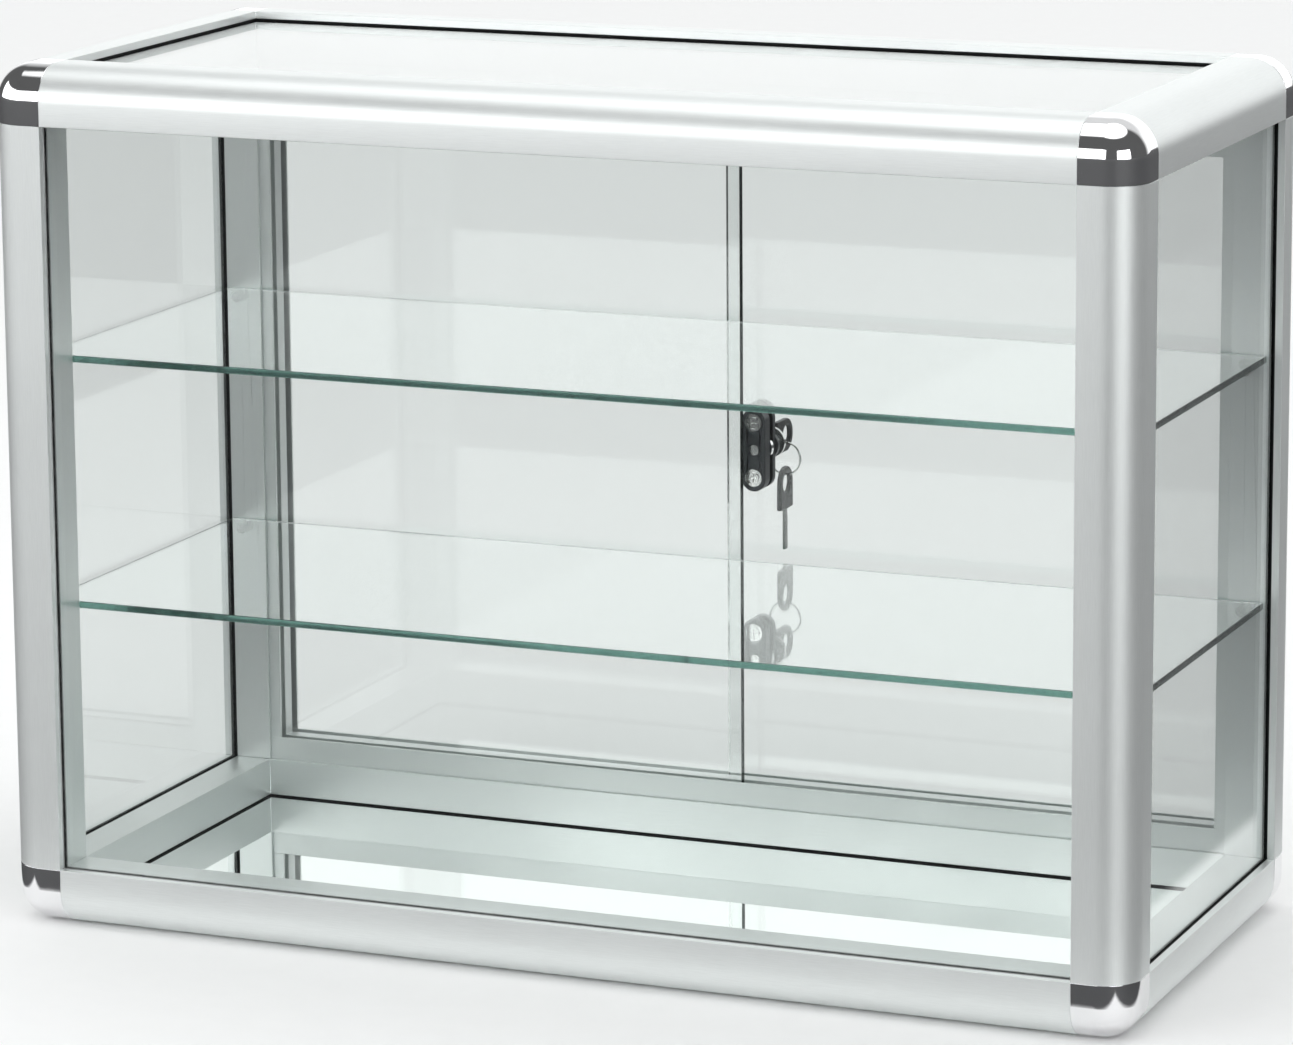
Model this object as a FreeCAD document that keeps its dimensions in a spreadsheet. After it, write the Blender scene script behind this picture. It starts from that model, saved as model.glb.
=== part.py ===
import FreeCAD, Part
import itertools
import os

# A countertop display showcase: twelve aluminium extrusions joined by eight chromed corner caps, glass in
# their grooves, a mirror deck, two glass shelves on pins, and two glass doors that slide past each other at
# the back, the outer one with a push lock and its keys.
# Millimetres. X runs along the width, -Y is the front, +Z is up. The origin is at the bottom, in the middle.

os.makedirs("parts", exist_ok=True)
doc = FreeCAD.newDocument("display_showcase")
sheet = doc.addObject("Spreadsheet::Sheet", "sizes")
nodes = []


# ---------------------------------------------------------------------------------------------- sizes


class Size:
    """A length with the spreadsheet formula that gives it, so that geometry can be bound to the sheet."""

    def __init__(self, value, formula):
        self.value = value
        self.formula = formula

    def joined(self, sign, other, value):
        return Size(value, f"({self.formula} {sign} {as_size(other).formula})")

    def __add__(self, other):
        return self.joined("+", other, self.value + as_size(other).value)

    def __sub__(self, other):
        return self.joined("-", other, self.value - as_size(other).value)

    def __mul__(self, other):
        return self.joined("*", other, self.value * as_size(other).value)

    def __truediv__(self, other):
        return self.joined("/", other, self.value / as_size(other).value)

    def __neg__(self):
        return as_size(0) - self


def as_size(value):
    return value if isinstance(value, Size) else Size(value, repr(value))


def named(alias, value, note):
    """Puts a driving dimension in the sheet and returns it."""
    named.row += 1
    sheet.set(f"A{named.row}", alias)
    sheet.set(f"B{named.row}", str(value))
    sheet.set(f"C{named.row}", note)
    sheet.setAlias(f"B{named.row}", alias)
    return Size(value, f"sizes.{alias}")


named.row = 0

case_width = named("case_width", 680, "outside, left to right")
case_depth = named("case_depth", 306, "outside, front to back, without the lock")
case_height = named("case_height", 500, "outside, bottom to top")
case_shift = named("case_shift", -20.8, "the case's middle, in front of the origin by half the key's overhang")

rail_width = named("rail_width", 34, "face of an extrusion")
rail_radius = named("rail_radius", 21, "rounded outer edge")
lip = named("lip", 4.5, "thickness of the lip outside a pane")
slot_gap = named("slot_gap", 7, "width of a glazing groove")
slot_floor = named("slot_floor", 22, "depth, from the outside, of a groove's floor")
core_near = named("core_near", 14, "hollow core, nearer side")
core_far = named("core_far", 31.5, "hollow core, farther side")
insert_reach = named("insert_reach", 28, "how far a corner insert's arm goes into its extrusion")
insert_play = named("insert_play", 0.1, "clearance round a corner insert")

pane_glass = named("pane_glass", 5, "thickness of panes, deck and doors")
seal_skin = named("seal_skin", 1, "glazing seal between a pane and a groove")
seal_show = named("seal_show", 0.6, "how far the top and deck seals show past their extrusions")
side_show = named("side_show", 0.1, "the same for the front and side seals")
seal_floor = named("seal_floor", 0.2, "clearance between a seal and a groove's floor")

shelf_glass = named("shelf_glass", 4, "thickness of a shelf")
shelf_side_gap = named("shelf_side_gap", 2, "shelf to side pane")
shelf_end_gap = named("shelf_end_gap", 1, "shelf to the posts' inner faces")
upper_shelf = named("upper_shelf", 326, "height of the upper shelf's underside")
lower_shelf = named("lower_shelf", 182, "height of the lower shelf's underside")
pin_radius = named("pin_radius", 3.5, "shelf pin, outside the post")
pin_reach = named("pin_reach", 10, "how far a shelf pin stands out")
pin_shank = named("pin_shank", 2, "radius of the pin's shank in the post")
shank_play = named("shank_play", 0.05, "clearance round a shank in its hole")
pin_depth = named("pin_depth", 6, "how far the shank goes into the post")
pin_inset = named("pin_inset", 22.75, "shelf pin's axis from the case's side")

track_back = named("track_back", 5.6, "track to the case's rear face")
track_wall = named("track_wall", 1.6, "wall of the tracks and jambs")
track_slot = named("track_slot", 7, "width of the slot that a door runs in")
track_web = named("track_web", 9, "hollow web between the two slots")
track_base = named("track_base", 2, "floor of a track slot")
track_rib = named("track_rib", 9, "rib that holds a track in the extrusion's groove")
track_foot = named("track_foot", 14, "height of the bottom track")
track_head = named("track_head", 24, "height of the top track")
jamb_width = named("jamb_width", 7, "how far a jamb stands out from its post")
pile_thick = named("pile_thick", 1.5, "sealing strip at the bottom of a jamb's slot")
door_play = named("door_play", 0.3, "clearance of a door to its track floor and stops")
door_catch = named("door_catch", 9, "how far a door stands in the top track")
door_overlap = named("door_overlap", 14, "closed doors, one past the other")

lock_inset = named("lock_inset", 19.5, "lock's axis from its door's free edge")
lock_height = named("lock_height", 250, "lock's axis above the base")
plate_width = named("plate_width", 15, "lock plate and flange")
plate_length = named("plate_length", 50, "lock plate and flange, rounded ends included")
plate_thick = named("plate_thick", 8, "inner lock plate")
pad_thick = named("pad_thick", 0.8, "soft pad between the lock and the glass")
flange_thick = named("flange_thick", 4, "lock housing's flange")
screw_spread = named("screw_spread", 33.5, "distance between the lock's two screws")
screw_shank = named("screw_shank", 2, "radius")
screw_head = named("screw_head", 5.2, "radius")
screw_rise = named("screw_rise", 2.2, "thickness of a screw's head")
screw_dome = named("screw_dome", 3.1, "radius of the raised middle of a screw's head")
screw_groove = named("screw_groove", 0.8, "width and depth of the ring round it")
screw_play = named("screw_play", 0.1, "clearance round a screw")
neck_radius = named("neck_radius", 8, "lock housing where it goes through the door")
hole_play = named("hole_play", 0.4, "hole in the door, round the lock's neck and screws")
boss_radius = named("boss_radius", 9.25, "lock housing behind its flange")
boss_rise = named("boss_rise", 3, "lock housing behind its flange")
barrel_radius = named("barrel_radius", 6, "sliding barrel")
button_radius = named("button_radius", 9.3, "the barrel's end that is pushed")
button_thick = named("button_thick", 2.4, "the barrel's end that is pushed")
bolt_radius = named("bolt_radius", 3, "bolt at the barrel's end")
bolt_recess = named("bolt_recess", 1.5, "end of the bolt, drawn back, behind the plate's front")
lock_throw = named("lock_throw", 7, "travel of the barrel and bolt")
lock_play = named("lock_play", 0.1, "running clearance in the lock")
lock_wall = named("lock_wall", 2.2, "front of the plate and of the barrel")
plug_radius = named("plug_radius", 4, "plug that the key turns")

key_thick = named("key_thick", 1.4, "key blade")
key_width = named("key_width", 5, "key blade")
key_play = named("key_play", 0.15, "keyway round the blade")
key_length = named("key_length", 25, "blade outside its head")
head_length = named("head_length", 26, "key head, along the key")
head_radius = named("head_radius", 10, "round end of the key head, half its width")
head_hole = named("head_hole", 6.2, "hole in the key head, radius")
blade_grip = named("blade_grip", 6, "blade inside its head")
head_thick = named("head_thick", 2.8, "key head")
head_gap = named("head_gap", 6.3, "key head to the barrel")
ring_radius = named("ring_radius", 9.9, "key ring, to the middle of its wire")
ring_wire = named("ring_wire", 0.6, "radius of the ring's wire")
ring_drop = named("ring_drop", 6.5, "ring's centre below the rim that it hangs on")
spare_gap = named("spare_gap", 0.6, "spare key's hole to the ring")

nothing = as_size(0)
front = case_shift - case_depth / 2
rear = case_shift + case_depth / 2
slot_near = lip
slot_far = lip + slot_gap
pane_near = lip + seal_skin
pane_far = pane_near + pane_glass
pane_edge = slot_floor + seal_floor + seal_skin
faces = {
    ("x", -1): -case_width / 2,
    ("x", 1): case_width / 2,
    ("y", -1): front,
    ("y", 1): rear,
    ("z", -1): nothing,
    ("z", 1): case_height,
}


def inward(axis, side, near, far):
    """The low and high ends of a slab between two depths inside one face of the case."""
    face = faces[axis, side]
    return (face + near, face + far) if side < 0 else (face - far, face - near)


def between(axis, inset):
    """The low and high ends of what is left after an inset at both faces of the case."""
    return faces[axis, -1] + inset, faces[axis, 1] - inset


# -------------------------------------------------------------------------------------- shape helpers


def bind(thing, prop, length):
    thing.setExpression(prop, length.formula)


def place(thing, x, y, z, rotation=FreeCAD.Rotation()):
    thing.Placement = FreeCAD.Placement(FreeCAD.Vector(), rotation)
    bind(thing, "Placement.Base.x", x)
    bind(thing, "Placement.Base.y", y)
    bind(thing, "Placement.Base.z", z)
    return thing


def box(x, y, z):
    """A box from its low and high ends along each axis."""
    block = doc.addObject("Part::Box", "box")
    for side, (low, high) in zip(("Length", "Width", "Height"), (x, y, z)):
        bind(block, side, high - low)
    return place(block, x[0], y[0], z[0])


TURNS = {
    "x": FreeCAD.Rotation(FreeCAD.Vector(0, 1, 0), 90),
    "y": FreeCAD.Rotation(FreeCAD.Vector(1, 0, 0), -90),
    "z": FreeCAD.Rotation(),
}


def rod(axis, ends, radius, **centre):
    """A cylinder along axis between two ends, with its centre given on the other two axes."""
    cylinder = doc.addObject("Part::Cylinder", "rod")
    bind(cylinder, "Radius", radius)
    bind(cylinder, "Height", ends[1] - ends[0])
    at = {**centre, axis: ends[0]}
    return place(cylinder, at["x"], at["y"], at["z"], TURNS[axis])


def ball(radius, x, y, z):
    sphere = doc.addObject("Part::Sphere", "ball")
    bind(sphere, "Radius", radius)
    return place(sphere, x, y, z)


def fuse(shapes):
    if len(shapes) == 1:
        return shapes[0]
    joined = doc.addObject("Part::MultiFuse", "fuse")
    joined.Shapes = shapes
    joined.Refine = True
    return joined


def cut(base, tools):
    difference = doc.addObject("Part::Cut", "cut")
    difference.Base = base
    difference.Tool = fuse(tools)
    difference.Refine = True
    return difference


def within(shape, limits):
    """What of a shape lies inside the limits."""
    kept = doc.addObject("Part::Common", "within")
    kept.Base = shape
    kept.Tool = limits
    kept.Refine = True
    return kept


def group(shapes):
    gathered = doc.addObject("Part::Compound", "group")
    gathered.Links = shapes
    return gathered


def node(label, shape):
    """Names a finished piece, which is then exported as its own file."""
    shape.Label = label
    nodes.append(shape)
    return shape


# ------------------------------------------------------------------------------------ frame and glass


def extrusion(label, run, sides, holes=()):
    """One frame member along the axis run, between the two outer faces given in sides."""
    ends = between(run, rail_width)

    def bar(depths):
        spans = {axis: inward(axis, sides[axis], *depths[n]) for n, axis in enumerate(sides)}
        spans[run] = ends
        return box(spans["x"], spans["y"], spans["z"])

    past_round = (rail_radius, rail_width)
    whole = (nothing, rail_width)
    core = (core_near, core_far)
    slot = (slot_near, slot_far)
    slot_depth = (slot_floor, rail_width)
    middle = {axis: inward(axis, side, rail_radius, rail_radius)[0] for axis, side in sides.items()}
    parts = [rod(run, ends, rail_radius, **middle), bar((past_round, whole)), bar((whole, past_round))]
    solid = within(fuse(parts), bar((whole, whole)))
    hollows = [bar((core, core)), bar((slot, slot_depth)), bar((slot_depth, slot))]
    node(label, cut(solid, hollows + list(holes)))


def corner_cap(label, sides):
    """A chromed cap with one ball-shaped outer corner, open inside for the insert and the panes' corners."""

    def block(depths):
        return box(*(inward(axis, sides[axis], *depths[axis]) for axis in "xyz"))

    middle = {axis: inward(axis, sides[axis], rail_radius, rail_radius)[0] for axis in "xyz"}
    whole = (nothing, rail_width)
    past_round = (rail_radius, rail_width)
    solids = [ball(rail_radius, **middle)]
    hollows = []
    for axis in "xyz":
        others = [other for other in "xyz" if other != axis]
        at = {other: middle[other] for other in others}
        solids.append(rod(axis, inward(axis, sides[axis], *past_round), rail_radius, **at))
        solids.append(block({axis: whole, **{other: past_round for other in others}}))
        hollows.append(block({axis: (core_near, rail_width), **{o: (core_near, core_far) for o in others}}))
        hollows.append(block({axis: (slot_near, slot_far), **{o: (slot_floor, rail_width) for o in others}}))
    solid = within(fuse(solids), block({axis: whole for axis in "xyz"}))
    node(label, cut(solid, hollows))


def corner_insert(sides):
    """The three-armed insert that joins the extrusions inside one cap."""
    near = core_near + insert_play
    far = core_far - insert_play
    arms = []
    for run in "xyz":
        depths = {axis: (near, rail_width + insert_reach if axis == run else far) for axis in "xyz"}
        arms.append(box(*(inward(axis, sides[axis], *depths[axis]) for axis in "xyz")))
    return fuse(arms)


def pane_box(face, side, near, far, edge):
    spans = {axis: between(axis, edge) for axis in "xyz"}
    spans[face] = inward(face, side, near, far)
    return box(spans["x"], spans["y"], spans["z"])


def pane_and_seal(label, seal_label, face, side, show):
    """A pane in its grooves, and the U-shaped seal round its edge."""
    node(label, pane_box(face, side, pane_near, pane_far, pane_edge))
    outline = pane_box(face, side, slot_near, slot_far, slot_floor + seal_floor)
    window = pane_box(face, side, slot_near, slot_far, rail_width + show)
    glass = pane_box(face, side, pane_near, pane_far, pane_edge)
    node(seal_label, cut(outline, [window, glass]))


SIDE_NAMES = {("x", -1): "left", ("x", 1): "right", ("y", -1): "front", ("y", 1): "rear", ("z", -1): "bottom"}
SIDE_NAMES["z", 1] = "top"


def name_of(sides, order):
    return "_".join(SIDE_NAMES[axis, sides[axis]] for axis in order)


def pin_line(sides):
    """A shelf pin's axis: across the post, and the post's inner face with the way that the pin points."""
    across = inward("x", sides["x"], pin_inset, pin_inset)[0]
    face = inward("y", sides["y"], rail_width, rail_width)[0]
    return across, face


def shelf_pin(sides, underside):
    across, face = pin_line(sides)
    height = underside - pin_radius
    head = (face, face + pin_reach) if sides["y"] < 0 else (face - pin_reach, face)
    shank = (face - pin_depth, face) if sides["y"] < 0 else (face, face + pin_depth)
    return fuse([rod("y", head, pin_radius, x=across, z=height), rod("y", shank, pin_shank, x=across, z=height)])


def pin_hole(sides, underside):
    across, face = pin_line(sides)
    height = underside - pin_radius
    ends = (face - pin_depth, face) if sides["y"] < 0 else (face, face + pin_depth)
    return rod("y", ends, pin_shank + shank_play, x=across, z=height)


def build_frame():
    shelves = (upper_shelf, lower_shelf)
    for y, z in itertools.product((-1, 1), (-1, 1)):
        sides = {"y": y, "z": z}
        extrusion("rail_" + name_of(sides, "zy"), "x", sides)
    for x, z in itertools.product((-1, 1), (-1, 1)):
        sides = {"x": x, "z": z}
        extrusion("rail_" + name_of(sides, "zx"), "y", sides)
    for x, y in itertools.product((-1, 1), (-1, 1)):
        sides = {"x": x, "y": y}
        extrusion("post_" + name_of(sides, "yx"), "z", sides, [pin_hole(sides, shelf) for shelf in shelves])
    corners = [dict(zip("xyz", sides)) for sides in itertools.product((-1, 1), repeat=3)]
    for sides in corners:
        corner_cap("corner_" + name_of(sides, "zyx"), sides)
    node("corner_inserts", group([corner_insert(sides) for sides in corners]))


def build_glazing():
    pane_and_seal("glass_front", "seal_front", "y", -1, side_show)
    pane_and_seal("glass_left", "seal_left", "x", -1, side_show)
    pane_and_seal("glass_right", "seal_right", "x", 1, side_show)
    pane_and_seal("glass_top", "seal_top", "z", 1, seal_show)
    pane_and_seal("mirror_deck", "seal_deck", "z", -1, seal_show)


def build_shelf(label, underside):
    x = between("x", pane_far + shelf_side_gap)
    y = between("y", rail_width + shelf_end_gap)
    node(label, box(x, y, (underside, underside + shelf_glass)))
    posts = [{"x": x_side, "y": y_side} for x_side, y_side in itertools.product((-1, 1), (-1, 1))]
    node(label + "_pins", group([shelf_pin(sides, underside) for sides in posts]))


# ------------------------------------------------------------------------------------- doors and track

track_rear = rear - track_back
outer_slot = (track_rear - track_wall - track_slot, track_rear - track_wall)
inner_slot = (outer_slot[0] - track_web - track_slot, outer_slot[0] - track_web)
track_y = (inner_slot[0] - track_wall, track_rear)
rib_y = (rear - slot_far, track_rear)
web_y = (inner_slot[1] + track_wall, outer_slot[0] - track_wall)
foot_top = rail_width + track_foot
head_low = case_height - rail_width - track_head
jamb_stop = rail_width + track_base + pile_thick + door_play


def door_y(slot):
    """A door's glass in the middle of the slot that it runs in."""
    middle = (slot[0] + slot[1]) / 2
    return middle - pane_glass / 2, middle + pane_glass / 2


def track(label, side, height):
    """A double channel on the rear rail's inner face, with a rib in the rail's groove."""
    x = between("x", rail_width)
    body = box(x, track_y, inward("z", side, rail_width, rail_width + height))
    rib = box(x, rib_y, inward("z", side, rail_width - track_rib, rail_width))
    slots = [
        box(x, slot, inward("z", side, rail_width + track_base, rail_width + height))
        for slot in (outer_slot, inner_slot)
    ]
    web = box(x, web_y, inward("z", side, rail_width, rail_width + height - track_base))
    node(label, cut(fuse([body, rib]), slots + [web]))


def jamb(label, side):
    """The upright channel that a closed door's edge goes into."""
    z = (foot_top, head_low)
    body = box(inward("x", side, rail_width, rail_width + jamb_width), track_y, z)
    rib = box(inward("x", side, rail_width - track_rib, rail_width), rib_y, z)
    slots = [
        box(inward("x", side, rail_width + track_base, rail_width + jamb_width), slot, z)
        for slot in (outer_slot, inner_slot)
    ]
    node(label, cut(fuse([body, rib]), slots))


def door_seals():
    z = (foot_top, head_low)
    strips = []
    for side, slot in itertools.product((-1, 1), (inner_slot, outer_slot)):
        x = inward("x", side, rail_width + track_base, rail_width + track_base + pile_thick)
        strips.append(box(x, slot, z))
    node("door_seals", group(strips))


door_stop = between("x", jamb_stop)
door_z = (rail_width + track_base + door_play, head_low + door_catch)
lock_x = lock_inset - door_overlap / 2
outer_glass = door_y(outer_slot)
screw_heights = (lock_height - screw_spread / 2, lock_height + screw_spread / 2)


def on_axis(ends, radius):
    """A cylinder on the lock's axis."""
    return rod("y", ends, radius, x=lock_x, z=lock_height)


def at_screws(ends, radius):
    return [rod("y", ends, radius, x=lock_x, z=height) for height in screw_heights]


def build_doors():
    track("track_bottom", -1, track_foot)
    track("track_top", 1, track_head)
    jamb("jamb_left", -1)
    jamb("jamb_right", 1)
    door_seals()
    node("door_left_glass", box((door_stop[0], door_overlap / 2), door_y(inner_slot), door_z))
    sheet_of_glass = box((-door_overlap / 2, door_stop[1]), outer_glass, door_z)
    holes = [on_axis(outer_glass, neck_radius + hole_play)] + at_screws(outer_glass, screw_shank + hole_play)
    node("door_right_glass", cut(sheet_of_glass, holes))


# ------------------------------------------------------------------------------------- lock and keys

plate_rear = outer_glass[0] - pad_thick
plate_front = plate_rear - plate_thick
flange_front = outer_glass[1] + pad_thick
flange_rear = flange_front + flange_thick
screw_tip = flange_rear - screw_shank / 2
boss_rear = flange_rear + boss_rise
button_front = boss_rear + lock_throw + lock_play * 3
barrel_rear = button_front + button_thick
barrel_front = plate_front + lock_wall + lock_throw + lock_play
head_near = barrel_rear + head_gap
head_middle = head_near + head_length - head_radius
head_rim = (head_hole + head_radius) / 2
ring_hinge = lock_height - head_rim
ring_middle = ring_hinge - ring_drop
spare_hinge = ring_middle - ring_radius
spare_middle = spare_hinge + ring_wire + spare_gap - head_hole


def lozenge(ends):
    """The outline of the lock's plate, flange and pads: straight sides and round ends."""
    half = plate_width / 2
    reach = plate_length / 2 - half
    straight = box((lock_x - half, lock_x + half), ends, (lock_height - reach, lock_height + reach))
    tips = [rod("y", ends, half, x=lock_x, z=tip) for tip in (lock_height - reach, lock_height + reach)]
    return fuse([straight] + tips)


def lock_plate():
    bore = on_axis((plate_front + lock_wall, plate_rear), barrel_radius + lock_play * 3)
    bolt_hole = on_axis((plate_front, plate_rear), bolt_radius + lock_play * 2)
    seats = at_screws((plate_front, plate_front + screw_rise), screw_head + screw_play)
    holes = at_screws((plate_front, plate_rear), screw_shank + screw_play)
    node("lock_plate", cut(lozenge((plate_front, plate_rear)), [bore, bolt_hole] + seats + holes))


def lock_pads():
    pads = []
    for ends in ((plate_rear, outer_glass[0]), (outer_glass[1], flange_front)):
        holes = [on_axis(ends, neck_radius + screw_play)] + at_screws(ends, screw_shank + screw_play)
        pads.append(cut(lozenge(ends), holes))
    node("lock_pads", group(pads))


def lock_housing():
    neck = on_axis((plate_rear, flange_front), neck_radius)
    boss = on_axis((flange_rear, boss_rear), boss_radius)
    solid = fuse([lozenge((flange_front, flange_rear)), neck, boss])
    bore = on_axis((plate_rear, boss_rear), barrel_radius + lock_play)
    threads = at_screws((flange_front, screw_tip + shank_play), screw_shank + shank_play)
    node("lock_housing", cut(solid, [bore] + threads))


def lock_screws():
    screws = []
    cross_half = screw_shank / 4
    screw_reach = screw_dome * 0.75
    for height in screw_heights:
        head = rod("y", (plate_front, plate_front + screw_rise), screw_head, x=lock_x, z=height)
        shank = rod("y", (plate_front, screw_tip), screw_shank, x=lock_x, z=height)
        depth = (plate_front, plate_front + screw_rise / 2)
        wide = (lock_x - screw_reach, lock_x + screw_reach)
        slim = (lock_x - cross_half, lock_x + cross_half)
        tall = (height - screw_reach, height + screw_reach)
        short = (height - cross_half, height + cross_half)
        groove_floor = (plate_front, plate_front + screw_groove)
        outer_ring = rod("y", groove_floor, screw_dome + screw_groove, x=lock_x, z=height)
        ring = cut(outer_ring, [rod("y", groove_floor, screw_dome, x=lock_x, z=height)])
        screws.append(cut(fuse([head, shank]), [box(wide, depth, short), box(slim, depth, tall), ring]))
    node("lock_screws", group(screws))


def lock_barrel():
    """The barrel that is pushed in to lock, with the bolt that then stands in the other door's way."""
    barrel = on_axis((barrel_front, barrel_rear), barrel_radius)
    bolt = on_axis((plate_front + bolt_recess, barrel_front), bolt_radius)
    bore = on_axis((barrel_front + lock_wall, barrel_rear), plug_radius + lock_play)
    button = on_axis((button_front, barrel_rear), button_radius)
    node("lock_barrel", cut(fuse([barrel, bolt, button]), [bore]))


def key_section(play):
    """The blade's thickness along X and its width along the other direction, from their middles."""
    return key_thick / 2 + play, key_width / 2 + play


def lock_plug():
    ends = (barrel_front + lock_wall + lock_play, barrel_rear)
    half_thick, half_width = key_section(key_play)
    x = (lock_x - half_thick, lock_x + half_thick)
    z = (lock_height - half_width, lock_height + half_width)
    deep = (head_near - key_length - key_play, barrel_rear)
    node("lock_plug", cut(on_axis(ends, plug_radius), [box(x, deep, z)]))


def key_blade(label, x, spans, root, tip):
    """A blade from its root, inside the head, to its tip; spans turns (along, across) ends into Y and Z."""
    half_thick, half_width = key_section(nothing)
    thickness = (x - half_thick, x + half_thick)
    away = 1 if tip.value > root.value else -1

    def length(near, far):
        return (near, far) if away > 0 else (far, near)

    blade = box(thickness, *spans(length(root, tip), (-half_width, half_width)))
    notches = []
    for n, depth in enumerate((1.0, 0.5, 1.3, 0.8)):
        near = tip - key_thick * away * (2 + 1.6 * n)
        far = near + key_thick * away
        notches.append(box(thickness, *spans(length(near, far), (half_width - depth, half_width))))
    node(label, cut(blade, notches))


def key_head(label, y, z, shoulders, pocket):
    """A plastic head moulded on its blade: a round end with a hole in it, and straight sides to the shoulders."""
    thick = (lock_x - head_thick / 2, lock_x + head_thick / 2)
    disc = rod("x", thick, head_radius, y=y, z=z)
    hole = rod("x", thick, head_hole, y=y, z=z)
    node(label, cut(fuse([disc, box(thick, *shoulders)]), [hole, pocket]))


def build_lock():
    lock_plate()
    lock_pads()
    lock_housing()
    lock_screws()
    lock_barrel()
    lock_plug()


def build_keys():
    half_thick, half_width = key_section(nothing)
    x = (lock_x - half_thick, lock_x + half_thick)

    def along_y(along, across):
        return along, (lock_height + across[0], lock_height + across[1])

    root = head_near + blade_grip
    key_blade("key_blade", lock_x, along_y, root, head_near - key_length)
    shoulders = along_y((head_near, head_middle), (-head_radius, head_radius))
    pocket = box(x, *along_y((head_near, root), (-half_width, half_width)))
    key_head("key_head", head_middle, lock_height, shoulders, pocket)

    ring = doc.addObject("Part::Torus", "ring")
    bind(ring, "Radius1", ring_radius)
    bind(ring, "Radius2", ring_wire)
    node("key_ring", place(ring, lock_x, head_middle, ring_middle, TURNS["y"]))

    def down_z(along, across):
        """Lengths along the hanging key are measured down from its head's round end."""
        y = (head_middle + across[0], head_middle + across[1])
        return y, (spare_middle - along[1], spare_middle - along[0])

    shoulder = head_length - head_radius
    spare_root = shoulder - blade_grip
    key_blade("spare_key_blade", lock_x, down_z, shoulder + key_length, spare_root)
    pocket = box(x, *down_z((spare_root, shoulder), (-half_width, half_width)))
    shoulders = down_z((nothing, shoulder), (-head_radius, head_radius))
    key_head("spare_key_head", head_middle, spare_middle, shoulders, pocket)


# -------------------------------------------------------------------------------------------- export


def export():
    doc.recompute()
    for thing in doc.Objects:
        if "Invalid" in thing.State or "Error" in thing.State:
            raise RuntimeError(f"{thing.Label} didn't build: {thing.State}")
        if hasattr(thing, "Shape") and (thing.Shape.isNull() or not thing.Shape.isValid()):
            raise RuntimeError(f"{thing.Label} has no valid shape")
    for piece in nodes:
        piece.Shape.exportStep(f"parts/{piece.Label}.step")


build_frame()
build_glazing()
build_shelf("shelf_upper", upper_shelf)
build_shelf("shelf_lower", lower_shelf)
build_doors()
build_lock()
build_keys()
export()
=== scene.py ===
import math

import bmesh
import bpy
from bpy.props import FloatProperty, FloatVectorProperty, PointerProperty
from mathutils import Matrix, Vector


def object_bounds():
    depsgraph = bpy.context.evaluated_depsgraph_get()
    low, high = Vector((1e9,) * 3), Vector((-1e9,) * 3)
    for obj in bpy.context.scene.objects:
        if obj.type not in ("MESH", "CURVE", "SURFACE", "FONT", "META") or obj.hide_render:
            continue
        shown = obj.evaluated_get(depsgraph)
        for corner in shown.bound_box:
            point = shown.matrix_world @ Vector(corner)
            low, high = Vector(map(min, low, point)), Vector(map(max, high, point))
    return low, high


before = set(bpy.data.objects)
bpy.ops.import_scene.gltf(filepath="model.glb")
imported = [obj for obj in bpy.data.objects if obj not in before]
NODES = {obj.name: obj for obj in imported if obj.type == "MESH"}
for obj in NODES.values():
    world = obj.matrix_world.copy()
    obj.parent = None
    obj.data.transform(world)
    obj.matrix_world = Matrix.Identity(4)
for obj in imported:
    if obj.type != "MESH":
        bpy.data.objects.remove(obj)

bl_info = {
    "name": "Countertop Display Showcase",
    "version": (1, 0, 0),
    "blender": (4, 5, 0),
    "location": "View3D > Sidebar > Showcase",
    "description": "Finishes a glass display showcase around its packed frame",
    "category": "Object",
}

CAD_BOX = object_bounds()
AXES = {"x": 0, "y": 1, "z": 2}

REFRACTION = 1.5
WELD_REACH = 0.00001
SHARP_EDGE = math.radians(35)
LIGHT_BOUNCES = 24
CLEAR_BOUNCES = 32

# Each lamp's name, place, size and share of the lamp power.
LAMPS = (
    ("overhead lamp", (0.2, -0.1, 2.4), (2.4, 1.2), 1.0),
    ("front lamp", (-1.0, -2.2, 1.6), (1.5, 0.8), 0.6),
)

# The room that shiny pieces reflect. A bearing is in radians from straight ahead, round to the right, and
# a height is the upward part of a direction of length 1. A window has the two ends of each and how soft
# they are; the ceiling and the back wall come in between two values.
LEFT_WINDOW = {"bearing": (-1.75, -0.02, 0.12), "height": (-0.1, 0.45, 0.05), "power": 2.9}
RIGHT_WINDOW = {"bearing": (0.5, 1.25, 0.06), "height": (-0.1, 0.42, 0.05), "power": 5.0}
CEILING = {"height": (0.84, 0.90), "power": 2.3}
BACK_WALL = {"bearing": (2.2, 2.6), "fade": (0.3, 0.6), "upper_share": 0.6, "power": 1.3}
DIM_WALL_POWER = 0.11


# --------------------------------------------------------------------------------------- settings


def colour_setting(name, description, default):
    labels = {"name": name, "description": description, "default": default}
    return FloatVectorProperty(**labels, subtype="COLOR", size=3, min=0.0, max=1.0)


def length_setting(name, description, default):
    labels = {"name": name, "description": description, "default": default}
    return FloatProperty(**labels, unit="LENGTH", subtype="DISTANCE")


def share_setting(name, description, default):
    labels = {"name": name, "description": description, "default": default}
    return FloatProperty(**labels, subtype="FACTOR", min=0.0, max=1.0)


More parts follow.
